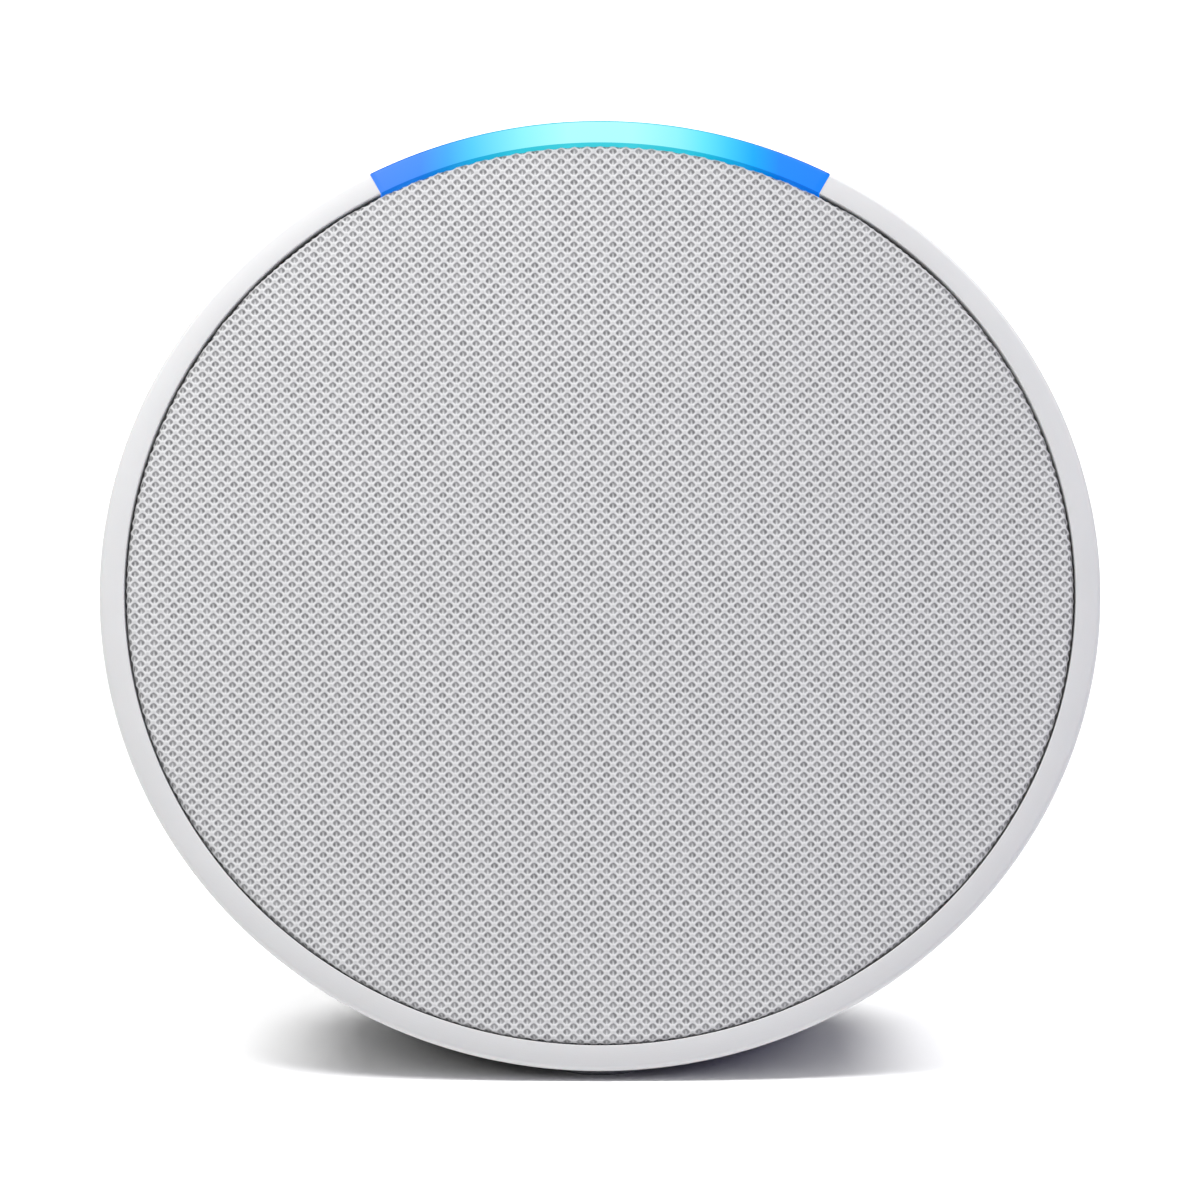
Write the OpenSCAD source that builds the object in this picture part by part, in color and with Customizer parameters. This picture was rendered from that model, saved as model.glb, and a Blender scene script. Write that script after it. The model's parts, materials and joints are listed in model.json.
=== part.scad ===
// Half-dome smart speaker: a round, knitted-fabric front tilted up at the listener, a lit bar
// let into the top of the front ring, and a domed plastic housing with three buttons on top.
// Axes: X runs left to right, -Y is the way the front faces, +Z is up, and z = 0 is the table.

/* [Overall size] */
// Width across the front ring
body_w = 99; // [97:0.5:101]
// Depth from the foremost point of the ring to the back of the dome
body_d = 83; // [82:0.5:84]
// Height from the table to the top of the front ring
body_h = 91; // [90:0.5:92]
// Angle that the front leans back from the vertical, in degrees
face_tilt = 25; // [24:0.5:26]
// Radius of the round back of the dome
dome_r = 46; // [45.8:0.1:46.2]

/* [Housing] */
// Wall thickness of the dome
wall = 2; // [1.8:0.1:2.2]
// Width of the bare plastic ring around the fabric
ring_w = 2.44; // [2.3:0.02:2.5]
// Size of the rounding on the ring's outer edge
ring_edge = 0.5; // [0.3:0.1:0.6]
// Height of the housing's flat underside above the table
foot_gap = 0.8; // [0.7:0.05:0.9]
// Clearance between pieces that are set into one another
seam = 0.3; // [0.25:0.05:0.35]

/* [Light bar] */
// Half of the angle that the light bar spans around the ring, in degrees
bar_half_angle = 27.7; // [26:0.1:29]
// Depth of the light bar behind the front
bar_depth = 4.5; // [4.4:0.1:4.6]
// Number of LEDs behind the light bar
led_count = 8; // [4:1:9]

/* [Buttons] */
// Radius of each button cap
button_r = 4.45; // [4.2:0.05:4.5]
// Angle between neighbouring buttons around the dome, in degrees
button_step = 22; // [21.5:0.5:23]
// Travel of each button
button_travel = 0.4; // [0.3:0.05:0.4]

/* [Loudspeaker] */
// Outer radius of the loudspeaker's round flange
driver_r = 25; // [24.6:0.1:25.2]
// Travel of the cone each way from rest
cone_travel = 1.5; // [1:0.1:1.5]
// Radius of the voice coil's former, outside
former_r = 9.95; // [9.9:0.05:9.95]

/* [Power inlet] */
// Radius of the round recess around the inlet
inlet_r = 5.2; // [5:0.1:5.4]
// Height of the inlet's axis above the table
inlet_z = 16; // [15.8:0.1:16.4]
// Radius of the inlet's socket bore
socket_r = 2.1; // [2:0.05:2.2]

/* [Hidden] */
// Segments on hull shapes, and on plain round shapes
dome_fn = 72;
$fn = 96;
// A length that makes cuts run clear through
over = 60;
// Gap between flat pieces that lie side by side
slip = 0.05;

ring_r = body_w / 2;
opening_r = ring_r - ring_w;
cavity_r = dome_r - wall;
floor_z = foot_gap + wall;

// How far in from its corner the middle of the ring's rounded edge lies
edge_in = 0.3 * ring_edge;

// Centre of the front, in the part's frame
face_y = -body_d / 2 + (ring_r - edge_in) * sin(face_tilt) - edge_in * cos(face_tilt);
face_z = body_h - ring_r * cos(face_tilt);

// Centre of the dome's sphere: above the centre of the front, and behind it, along the front's axis
dome_up = ring_r - dome_r;
dome_away = body_d / 2 - dome_r - face_y;
dome_drop = (dome_away * sin(face_tilt) - dome_up) / cos(face_tilt);
dome_back = dome_away * cos(face_tilt) + dome_drop * sin(face_tilt);
dome_y = face_y + dome_away;

// Depths behind the front, along its axis
fabric_t = 0.5;
grille_front = -0.6;
grille_back = -2.4;
hem_back = grille_back - fabric_t;
rib_front = -3.2;
baffle_front = -7.5;
baffle_back = -9.5;
flange_front = -6.5;
ledge_front = -13.4;
yoke_front = -15;
yoke_back = -24;
magnet_back = -22.5;
cup_back = -28;
cup_floor = -26.2;
board_front = -31;
board_back = -32.6;
can_back = -34.9;
pad_back = -36.1;
sink_plate_back = -38.1;
sink_back = -42;
socket_back = -35.2;

// Middle of the shield can, on the main board
can_place = [-4, 9, 0];

// Radii around the front's axis
fabric_r = opening_r - seam;
grille_r = fabric_r - 0.36;
baffle_r = 42.8;
cup_r = 33.4;
cup_inner_r = 31.6;
boss_pitch_r = 38;
boss_r = 2.6;
boss_bore_r = 1.05;
boss_bore_depth = 7;
ear_pitch_r = 27;
ear_r = 2.8;
quarter_angles = [45, 135, 225, 315];

// Standoffs of the main board, and the pilot holes of the small screws
standoff_places = [[24, 14], [-24, 14], [0, -22]];
standoff_r = 3;
pilot_r = 0.9;
board_hole_r = 1.15;
wire_hole_x = -24;

// Lit parts, as radii around the front's axis
led_pitch_r = 45.3;
led_size = 2;
led_front = -4.7;
led_board_front = -5.6;
led_board_back = -6.4;
bar_proud = 0.08;
bar_rib_r = 43.6;
shroud_inner_r = 40.5;
shroud_outer_r = 46.8;

// Top electronics, as radii around the dome's centre
bracket_r = 39.2;
bracket_t = 1.2;
bracket_half_w = 6;
flex_r = 40.45;
flex_t = 0.2;
flex_half_w = 5.5;
snap_r = 40.7;
snap_base_r = 2.2;
stem_end_r = snap_r + button_travel + slip;
mic_top_r = 41.7;
gasket_top_r = 43.85;
button_top_r = dome_r + 0.35;
button_flange_r = 42.4;
mic_hole_r = 0.55;
button_angles = [-button_step, 0, button_step];
mic_angles = [-1.5 * button_step, -button_step / 2, button_step / 2, 1.5 * button_step];

// Loudspeaker: radii, then depths of the magnet, of the coil and of the cone's two ends
magnet_r = 8.6;
pole_r = 9.2;
yoke_r = 15.5;
yoke_cavity_r = 11.2;
coil_r = 10.6;
cone_r = 16.8;
roll_r = 19.1;
roll_size = 2.1;
roll_skin = 0.4;
pole_back = -17.5;
pole_front = -15.6;
former_back = magnet_back + cone_travel + 0.4;
winding_back = -18.8;
winding_front = -14.6;
cone_back = -11.4;
cone_front = flange_front - slip;
former_front = -10.5;

// Power inlet, along Y in the part's frame
recess_floor = 26.2;
recess_wall = 1.6;
jack_hole_r = inlet_r - 1.8;
jack_back = 25;
jack_front = 14.5;
socket_front = jack_front + 2;
jack_w = 9;
jack_h = 8;
power_board_top = inlet_z - jack_h / 2;
power_board_t = 1.6;
post_places = [[-8, 12], [8, 12]];
post_r = 2.5;
connector_x = 8.4;
connector_front = 16;

// Places its children on the front: local +Z points out of the front, and +Y up along it
module on_face() {
    translate([0, face_y, face_z]) rotate([90 - face_tilt, 0, 0]) children();
}

// Places its children at the dome's centre, turned like the front
module at_dome() {
    on_face() translate([0, dome_up, -dome_back]) children();
}

// Points local +Z out of the top of the dome, turned by an angle around the front's axis
module at_top(angle) {
    at_dome() rotate([0, 0, -angle]) rotate([-90, 0, 0]) children();
}

// Points local +Z out of the back, along the power inlet's axis
module at_inlet() {
    translate([0, 0, inlet_z]) rotate([-90, 0, 0]) children();
}

// A cylinder between two heights
module rod(r, from, to, segments = $fn) {
    translate([0, 0, from]) cylinder(r = r, h = to - from, $fn = segments);
}

// A tube between two heights
module tube(outer, inner, from, to) {
    difference() {
        rod(outer, from, to);
        rod(inner, from - 1, to + 1);
    }
}

// A box centred on X and Y, between two heights
module block(x, y, from, to) {
    translate([-x / 2, -y / 2, from]) cube([x, y, to - from]);
}

// A wedge that opens upwards along +Y, to each side of it by half_angle, for cutting sectors
module wedge(half_angle, from, to) {
    reach = 2 * over;
    translate([0, 0, from]) linear_extrude(to - from)
        polygon([[0, 0], [-reach * tan(half_angle), reach], [reach * tan(half_angle), reach]]);
}

// The part of a tube that lies within half_angle of the top
module sector(outer, inner, half_angle, from, to) {
    intersection() {
        tube(outer, inner, from, to);
        wedge(half_angle, from - 1, to + 1);
    }
}

// A screw along +Z with its head above head_z, and a cross slot in the head
module screw(head_r, head_z, head_h, shank_r, end_z) {
    slot_w = head_r * 0.3;
    difference() {
        union() {
            rod(head_r, head_z, head_z + head_h, 32);
            rod(shank_r, end_z, head_z, 32);
        }
        for (turn = [0, 90])
            rotate([0, 0, turn]) block(head_r * 1.2, slot_w, head_z + head_h * 0.5, head_z + head_h + 1);
    }
}

// A flat strip of a given width along X, bent through points that are [y, z] pairs
module strip(points, width, thick) {
    for (i = [0 : len(points) - 2]) {
        a = points[i];
        b = points[i + 1];
        angle = atan2(b[1] - a[1], b[0] - a[0]);
        translate([0, a[0], a[1]]) rotate([angle, 0, 0])
            translate([-width / 2, 0, 0]) cube([width, norm(b - a), thick]);
        if (i > 0)
            translate([-width / 2, a[0], a[1]]) rotate([0, 90, 0]) cylinder(r = thick, h = width, $fn = 24);
    }
}

// Points along a smooth curve that starts at a, leaves towards b, comes in from c and ends at d
function curve(a, b, c, d, steps) = [
    for (i = [0 : steps]) let (t = i / steps, u = 1 - t)
        u * u * u * a + 3 * u * u * t * b + 3 * u * t * t * c + t * t * t * d
];

// A wire of round section, swept along a path that never runs straight along X
module wire(path, r) {
    sides = 8;
    last = len(path) - 1;
    rings = [
        for (i = [0 : last])
            let (
                along = path[min(i + 1, last)] - path[max(i - 1, 0)],
                n = along / norm(along),
                side = cross(n, [1, 0, 0]),
                right = side / norm(side),
                up = cross(right, n)
            )
            for (k = [0 : sides - 1])
                path[i] + r * (cos(k * 360 / sides) * right + sin(k * 360 / sides) * up)
    ];
    walls = [
        for (i = [0 : last - 1])
            for (k = [0 : sides - 1])
                let (next = (k + 1) % sides)
                    [i * sides + k, i * sides + next, (i + 1) * sides + next, (i + 1) * sides + k]
    ];
    near_end = [[for (k = [sides - 1 : -1 : 0]) k]];
    far_end = [[for (k = [0 : sides - 1]) last * sides + k]];
    polyhedron(points = rings, faces = concat(walls, near_end, far_end), convexity = 4);
}

// ---- Housing ----

// Solid dome: the round front joined to the sphere behind it
module dome_solid(front_r, edge, ball_r, front) {
    hull() {
        on_face() {
            rod(front_r - edge, front - 0.01, front, dome_fn);
            rod(front_r - edge * 0.3, front - edge * 0.3 - 0.01, front - edge * 0.3, dome_fn);
            rod(front_r, front - edge - 0.01, front - edge, dome_fn);
        }
        intersection() {
            at_dome() rotate([0, 0, 180 / dome_fn]) sphere(r = ball_r, $fn = dome_fn);
            on_face() block(2 * over, 2 * over, -2 * over, front - edge);
        }
    }
}

// Screw bosses and board posts that stand in the cavity, running on into the wall
module shell_bosses() {
    on_face() for (a = quarter_angles)
        rotate([0, 0, a]) translate([boss_pitch_r, 0, 0]) rod(boss_r, -over, baffle_back, 32);
    for (p = post_places)
        translate([p[0], p[1], 0]) rod(post_r, 0, power_board_top - power_board_t, 32);
    at_inlet() rod(inlet_r + recess_wall, jack_back, over, 48);
}

// Holes through the bosses and the wall, and the straight seat of the fabric behind the ring
module shell_bores() {
    on_face() {
        rod(opening_r, hem_back - seam, 1);
        for (a = quarter_angles)
            rotate([0, 0, a]) translate([boss_pitch_r, 0, 0])
                rod(boss_bore_r, baffle_back - boss_bore_depth, baffle_back + 1, 32);
    }
    for (p = post_places)
        translate([p[0], p[1], 0]) rod(pilot_r, floor_z + 1.5, over, 24);
    at_inlet() {
        rod(inlet_r, recess_floor, over, 48);
        rod(jack_hole_r, jack_back - 1, recess_floor + 1, 48);
    }
    for (a = button_angles)
        at_top(a) rod(button_r + seam, cavity_r - 3, over, 48);
    for (a = mic_angles)
        at_top(a) rod(mic_hole_r, cavity_r - 3, over, 24);
}

module rear_shell() {
    color("#d9d9de") difference() {
        dome_solid(ring_r, ring_edge, dome_r, 0);
        difference() {
            dome_solid(opening_r, 0.01, cavity_r, 1);
            shell_bosses();
            translate([0, 0, floor_z - over]) block(4 * over, 4 * over, 0, over);
        }
        shell_bores();
        translate([0, 0, foot_gap - over]) block(4 * over, 4 * over, 0, over);
        on_face() sector(ring_r + 1, opening_r - 0.5, bar_half_angle, -bar_depth, 2);
    }
}

// Rubber pad on the underside: a round pad with a tongue that reaches forward under the front
module foot() {
    pad_r = 18.4;
    nose_r = 3.4;
    nose_y = -33.8;
    run = dome_y - nose_y;
    lean = asin((pad_r - nose_r) / run);
    color("#5a5a60") union() {
        translate([0, dome_y, 0]) rod(pad_r, 0, foot_gap);
        translate([0, nose_y, 0]) rod(nose_r, 0, foot_gap, 48);
        linear_extrude(foot_gap) polygon([
            [pad_r * cos(lean), dome_y - pad_r * sin(lean)],
            [nose_r * cos(lean), nose_y - nose_r * sin(lean)],
            [-nose_r * cos(lean), nose_y - nose_r * sin(lean)],
            [-pad_r * cos(lean), dome_y - pad_r * sin(lean)]
        ]);
    }
}

// ---- Front ----

// Stiff perforated disc behind the fabric, on four legs that stand on the baffle
module grille_frame() {
    hole_r = 1.6;
    hole_step = 5.2;
    rows = 7;
    leg_r = 40;
    leg_angles = [-20, 20, 160, 200];
    color("#3a3a40") on_face() {
        difference() {
            rod(grille_r, grille_back, grille_front);
            for (row = [0 : rows])
                let (holes = max(1, 6 * row))
                    for (i = [0 : holes - 1])
                        rotate([0, 0, i * 360 / holes]) translate([row * hole_step, 0, 0])
                            rod(hole_r, grille_back - 1, grille_front + 1, 16);
        }
        for (a = leg_angles)
            rotate([0, 0, a]) translate([leg_r, 0, 0]) block(2.4, 5, baffle_front, grille_back + 0.5);
    }
}

// Knitted fabric: a skin over the frame, down its rim and turned in behind it
module grille_fabric() {
    hem_w = 2.4;
    color("#dcdce0") on_face() difference() {
        rod(fabric_r, hem_back, grille_front + fabric_t);
        rod(grille_r, grille_back, grille_front);
        rod(grille_r - hem_w, hem_back - 1, grille_back + 0.1);
    }
}

// ---- Light ----

// Milky bar in the ring, with a rib inside that the LEDs shine into
module light_bar() {
    color("#4fc3ff") on_face() union() {
        sector(ring_r + bar_proud, opening_r, bar_half_angle - 0.1, -bar_depth, bar_proud);
        sector(opening_r + 0.01, bar_rib_r, bar_half_angle - 2, -bar_depth, rib_front);
    }
}

module leds() {
    reach = bar_half_angle - 4;
    step = 2 * reach / (led_count - 1);
    color("#bfe8ff") on_face() for (i = [0 : led_count - 1])
        rotate([0, 0, i * step - reach]) translate([0, led_pitch_r, 0])
            block(led_size, led_size, led_board_front, led_front);
}

module led_board() {
    color("#1f6b3a") on_face()
        sector(shroud_outer_r - 0.1, bar_rib_r - 0.2, bar_half_angle, led_board_back, led_board_front);
}

// White tray that carries the LED board on the baffle and stops light leaking inwards
module light_shroud() {
    tray_front = -4.6;
    color("#f2f2f2") on_face() difference() {
        sector(shroud_outer_r, shroud_inner_r, bar_half_angle + 2, baffle_front, tray_front);
        sector(over, bar_rib_r - 0.25, bar_half_angle + 0.3, led_board_back, 0);
        rod(bar_rib_r - 1, led_board_back, 0);
    }
}

// ---- Loudspeaker box ----

// Round plate that carries the loudspeaker, with a boss behind it for each of its screws
module speaker_baffle() {
    driver_hole_r = 22.8;
    lug_r = 2.3;
    lug_back = baffle_back - 3;
    screw_hole_r = 1.6;
    color("#2b2b2f") on_face() difference() {
        union() {
            rod(baffle_r, baffle_back, baffle_front);
            for (a = quarter_angles)
                rotate([0, 0, a]) translate([ear_pitch_r, 0, 0]) rod(lug_r, lug_back, baffle_front, 32);
        }
        rod(driver_hole_r, lug_back - 1, 0);
        for (a = quarter_angles)
            rotate([0, 0, a]) {
                translate([ear_pitch_r, 0, 0]) rod(1, lug_back + 0.5, 0, 24);
                translate([boss_pitch_r, 0, 0]) rod(screw_hole_r, baffle_back - 1, 0, 24);
            }
    }
}

module baffle_screws() {
    color("#9a9aa0") on_face() for (a = quarter_angles)
        rotate([0, 0, a]) translate([boss_pitch_r, 0, 0]) screw(2.2, baffle_front, 1.3, 1, baffle_back - 6);
}

// Sealed cup behind the baffle, with three standoffs for the main board
module speaker_enclosure() {
    wire_hole_r = 2.4;
    color("#34343a") on_face() difference() {
        union() {
            rod(cup_r, cup_back, baffle_back);
            for (p = standoff_places)
                translate([p[0], p[1], 0]) rod(standoff_r, board_front, cup_back + 0.5, 32);
        }
        rod(cup_inner_r, cup_floor, baffle_back + 1);
        translate([wire_hole_x, 0, 0]) rod(wire_hole_r, cup_back - 1, cup_floor + 1, 32);
        for (p = standoff_places)
            translate([p[0], p[1], 0]) rod(pilot_r, board_front - 1, cup_back - 0.5, 24);
    }
}

// ---- Loudspeaker ----

// Pressed basket: flange with four ears, cone with windows, and the seat of the yoke
module driver_basket() {
    rim_r = 21.4;
    ledge_r = 17.4;
    sheet_t = 1;
    seat_r = yoke_r + 0.1;
    seat_back = yoke_front - 1.5;
    ear_hole_r = 1.3;
    windows = 6;
    window_size = 8;
    window_front = -8.4;
    color("#44444a") on_face() difference() {
        union() {
            rotate_extrude() polygon([
                [rim_r, flange_front], [driver_r, flange_front], [driver_r, baffle_front],
                [rim_r + sheet_t, baffle_front], [ledge_r + sheet_t, ledge_front + 0.2],
                [ledge_r + sheet_t, seat_back], [seat_r, seat_back], [seat_r, ledge_front],
                [ledge_r, ledge_front], [ledge_r, ledge_front + 0.4], [rim_r, baffle_front + 0.5]
            ]);
            for (a = quarter_angles)
                rotate([0, 0, a]) difference() {
                    flange_ear();
                    rod(driver_r - 1, baffle_front - 1, 0);
                }
        }
        for (a = quarter_angles)
            rotate([0, 0, a]) translate([ear_pitch_r, 0, 0]) rod(ear_hole_r, baffle_front - 1, 0, 24);
        for (i = [0 : windows - 1])
            rotate([0, 0, (i + 0.5) * 360 / windows]) translate([20, 0, 0])
                block(window_size, window_size, window_front - window_size / 2, window_front);
    }
}

// One ear of the flange, a round lug that runs back into it
module flange_ear() {
    translate([ear_pitch_r, 0, 0]) rod(ear_r, baffle_front, flange_front, 32);
    translate([ear_pitch_r - 3, 0, 0]) block(6, 2 * ear_r, baffle_front, flange_front);
}

module driver_screws() {
    color("#8a8a90") on_face() for (a = quarter_angles)
        rotate([0, 0, a]) translate([ear_pitch_r, 0, 0]) screw(2, flange_front, 1.1, 0.95, baffle_back - 2);
}

// Foam ring between the flange and the grille
module driver_gasket() {
    gasket_w = 1.3;
    color("#303034") on_face() tube(driver_r - 0.1, driver_r - 0.1 - gasket_w, flange_front, grille_back);
}

module driver_yoke() {
    color("#8c8f94") on_face() difference() {
        rod(yoke_r, yoke_back, yoke_front);
        rod(yoke_cavity_r, magnet_back, 0);
    }
}

module driver_magnet() {
    color("#6b6e73") on_face() rod(magnet_r, magnet_back, pole_back);
}

module driver_pole_plate() {
    color("#9c9fa4") on_face() rod(pole_r, pole_back, pole_front);
}

// Thin tube with the copper winding around its back end
module voice_coil() {
    former_t = 0.2;
    color("#b06a3a") on_face() union() {
        tube(former_r, former_r - former_t, former_back, former_front);
        tube(coil_r, former_r - former_t / 2, winding_back, winding_front);
    }
}

module speaker_cone() {
    neck_r = former_r + 0.1;
    paper_t = 0.5;
    lip_w = 0.7;
    color("#2a2a2c") on_face() rotate_extrude() polygon([
        [neck_r, cone_back], [cone_r - lip_w + 0.1, cone_front - 0.35], [cone_r, cone_front - 0.35],
        [cone_r, cone_front], [cone_r - lip_w, cone_front], [neck_r, cone_back + paper_t]
    ]);
}

module dust_cap() {
    cap_h = 2.6;
    cap_t = 0.4;
    base = former_front + slip;
    cap_r = (former_r * former_r + cap_h * cap_h) / (2 * cap_h);
    color("#232325") on_face() intersection() {
        translate([0, 0, base + cap_h - cap_r]) difference() {
            sphere(r = cap_r);
            sphere(r = cap_r - cap_t);
        }
        rod(former_r - slip, base, 0);
    }
}

// Rubber half-roll between the cone and the flange
module driver_surround() {
    inner_r = 16;
    overlap = 0.2;
    outer_w = 2.4;
    color("#1c1c1e") on_face() rotate_extrude() union() {
        difference() {
            translate([roll_r, flange_front]) circle(r = roll_size, $fn = 48);
            translate([roll_r, flange_front]) circle(r = roll_size - roll_skin, $fn = 48);
            translate([0, flange_front - over]) square([over, over]);
        }
        translate([inner_r, flange_front]) square([roll_r - roll_size + overlap - inner_r, roll_skin]);
        translate([roll_r + roll_size - overlap, flange_front]) square([outer_w, roll_skin]);
    }
}

// Corrugated cloth disc that centres the voice coil
module driver_spider() {
    inner_r = former_r + 0.15;
    outer_r = 17.2;
    waves = 4;
    cloth_t = 0.3;
    wave_h = 0.5;
    step = (outer_r - inner_r) / (2 * waves);
    crest = [for (i = [0 : 2 * waves]) [inner_r + i * step, ledge_front + wave_h * (i % 2)]];
    top = [for (p = crest) p + [0, cloth_t]];
    bottom = [for (i = [2 * waves : -1 : 0]) crest[i]];
    color("#c9a86a") on_face() rotate_extrude() polygon(concat(top, bottom));
}

// Two leads from the coil, out through the back of the cup to the main board
module speaker_wires() {
    tag_x = -19;
    wire_r = 0.6;
    color("#b02a2a") on_face() for (side = [-1.1, 1.1])
        wire(curve([tag_x, side, -14.5], [wire_hole_x + 1, side, -16], [wire_hole_x, side, -20],
            [wire_hole_x, side, cup_back - 0.5], 10), wire_r);
}

module speaker_connector() {
    color("#f0f0f0") on_face() translate([wire_hole_x, 0, 0]) block(3.4, 4.6, board_front, cup_back - 0.5);
}

// ---- Main electronics ----

module main_board() {
    board_r = 32;
    color("#1d5f38") on_face() difference() {
        translate([0, 2.5, 0]) rod(board_r, board_back, board_front);
        for (p = standoff_places)
            translate([p[0], p[1], 0]) rod(board_hole_r, board_back - 1, 0, 24);
    }
}

module board_screws() {
    color("#a0a0a6") on_face() for (p = standoff_places)
        translate([p[0], p[1], 0]) rotate([180, 0, 0]) screw(2.2, -board_back, 1.2, 0.85, -board_front - 2);
}

module shield_can() {
    can_w = 26;
    can_h = 22;
    can_t = 0.3;
    color("#b8babd") on_face() translate(can_place) difference() {
        block(can_w, can_h, can_back, board_back);
        block(can_w - 2 * can_t, can_h - 2 * can_t, can_back + can_t, board_back + 1);
    }
}

module thermal_pad() {
    color("#8fb4d0") on_face() translate(can_place) block(20, 18, pad_back, can_back);
}

// Aluminium plate with fins, on four legs that stand on the main board
module heat_sink() {
    plate_w = 40;
    plate_h = 30;
    fin_t = 1.4;
    fin_step = 4.6;
    leg_in = 1.7;
    color("#b5b8bc") on_face() translate([0, can_place[1], 0]) {
        block(plate_w, plate_h, sink_plate_back, pad_back);
        for (i = [-4 : 4])
            translate([i * fin_step, 0, 0]) block(fin_t, plate_h, sink_back, sink_plate_back);
        for (x = [-1, 1])
            for (y = [-1, 1])
                translate([x * (plate_w / 2 - leg_in), y * (plate_h / 2 - leg_in), 0])
                    rod(1.3, pad_back, board_back, 24);
    }
}

// Two stamped antennas that stand on the edges of the main board
module antennas() {
    sheet_t = 0.4;
    color("#c8a850") on_face() for (side = [-1, 1])
        translate([side * 28, 1, 0]) difference() {
            block(sheet_t, 14, -37, board_back);
            translate([0, 1, 0]) block(1, 12, -34.6, board_back + 1);
            translate([0, -3, 0]) block(1, 1.6, -36, board_back + 1);
        }
}

// Sockets on the back of the main board: a wide one for the ribbon and a small one for the power
module board_connectors() {
    color("#eeeeea") on_face() {
        translate([0, 28.3, 0]) block(14, 3.4, socket_back, board_back);
        translate([10, -16, 0]) block(6, 4.6, socket_back, board_back);
    }
}

// Flat cable from the main board's socket, up behind the loudspeaker and over the flexible circuit's edge
module ribbon_cable() {
    ribbon_w = 12;
    ribbon_t = 0.15;
    top_y = dome_up + flex_r + flex_t + 0.02 + ribbon_t;
    color("#d88a3a") on_face()
        strip([
            [30, -34.2], [33, -34.2], [37.5, -31.4], [41.8, -26],
            [top_y, -dome_back - flex_half_w - 1.1], [top_y, -dome_back - flex_half_w + 0.3]
        ], ribbon_w, ribbon_t);
}

// ---- Top electronics and buttons ----

// Arched carrier under the top of the dome, with two feet against the baffle
module top_bracket() {
    half = 1.5 * button_step + 5;
    foot_half = 3;
    foot_inner_r = 37;
    foot_t = 1.2;
    foot_front = dome_back + baffle_back;
    color("#3c3c42") at_dome() {
        sector(bracket_r + bracket_t, bracket_r, half, -bracket_half_w, bracket_half_w);
        for (side = [-1, 1])
            rotate([0, 0, side * (half - foot_half)])
                sector(bracket_r + bracket_t / 2, foot_inner_r, foot_half, foot_front - foot_t, foot_front);
    }
}

module button_flex() {
    color("#c77f2e") at_dome()
        sector(flex_r + flex_t, flex_r, 1.5 * button_step + 4, -flex_half_w, flex_half_w);
}

// Thin metal snap domes on the flexible circuit, one under each button
module snap_domes() {
    thick = 0.12;
    top_r = 1.3;
    height = button_travel;
    color("#c0c2c6") for (a = button_angles)
        at_top(a) translate([0, 0, snap_r]) rotate_extrude($fn = 48) polygon([
            [snap_base_r, 0], [top_r, height], [0, height],
            [0, height - thick], [top_r - thick, height - thick], [snap_base_r - 2 * thick, 0]
        ]);
}

module microphones() {
    port_r = 0.4;
    color("#d0b45c") for (a = mic_angles)
        at_top(a) difference() {
            block(3.4, 2.6, flex_r + flex_t + 0.07, mic_top_r);
            rod(port_r, mic_top_r - 0.4, mic_top_r + 1, 16);
        }
}

module mic_gaskets() {
    color("#222226") for (a = mic_angles)
        at_top(a) tube(1.25, mic_hole_r + slip, mic_top_r, gasket_top_r);
}

// Button cap that follows the dome, with a collar inside and a stem that presses the switch
module button(angle) {
    collar_w = 1;
    collar_h = 0.8;
    stem_r = 0.9;
    root_r = button_flange_r + collar_h / 2;
    color("#cfcfd6") at_top(angle) union() {
        intersection() {
            rod(button_r, root_r, dome_r + 2, 64);
            sphere(r = button_top_r, $fn = 128);
        }
        rod(button_r + collar_w, button_flange_r, button_flange_r + collar_h, 48);
        rod(stem_r, stem_end_r, root_r, 24);
    }
}

module volume_down_button() {
    button(-button_step);
}

module microphone_button() {
    button(0);
}

module volume_up_button() {
    button(button_step);
}

// ---- Power inlet ----

module power_board() {
    board_w = 22;
    board_d = 14.5;
    color("#1d5f38") difference() {
        translate([-board_w / 2, 8, power_board_top - power_board_t]) cube([board_w, board_d, power_board_t]);
        for (p = post_places)
            translate([p[0], p[1], 0]) rod(board_hole_r, 0, over, 24);
    }
}

module power_connector() {
    depth = 5;
    color("#eeeeea") translate([connector_x, connector_front + depth / 2, 0])
        block(4.4, depth, power_board_top, power_board_top + 3);
}

module power_board_screws() {
    color("#a0a0a6") for (p = post_places)
        translate([p[0], p[1], 0]) screw(2, power_board_top, 1.1, 0.85, floor_z + 2.5);
}

// Barrel jack: a block on the power board with a round nose in the floor of the recess
module dc_jack() {
    nose_r = inlet_r - 2;
    color("#26262a") at_inlet() difference() {
        union() {
            block(jack_w, jack_h, jack_front, jack_back);
            rod(nose_r, jack_back - 0.5, recess_floor, 48);
        }
        rod(socket_r, socket_front, over, 48);
    }
}

// Centre pin of the jack, with a round tip
module dc_jack_pin() {
    pin_r = 0.8;
    tip = jack_back - 0.4;
    color("#d8c27a") at_inlet() union() {
        rod(pin_r, socket_front, tip, 32);
        intersection() {
            translate([0, 0, tip]) sphere(r = pin_r, $fn = 32);
            rod(1, tip, tip + 1, 32);
        }
    }
}

// Two leads from the main board down to the power board
module power_wires() {
    wire_r = 0.55;
    plug_z = power_board_top + 2;
    color("#c03030") for (side = [-0.8, 0.8])
        wire(curve([10 + side, 5.1, 17.2], [10 + side, 7.6, 16.2], [connector_x + side, 11, plug_z],
            [connector_x + side, connector_front - slip, plug_z], 10), wire_r);
}

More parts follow.
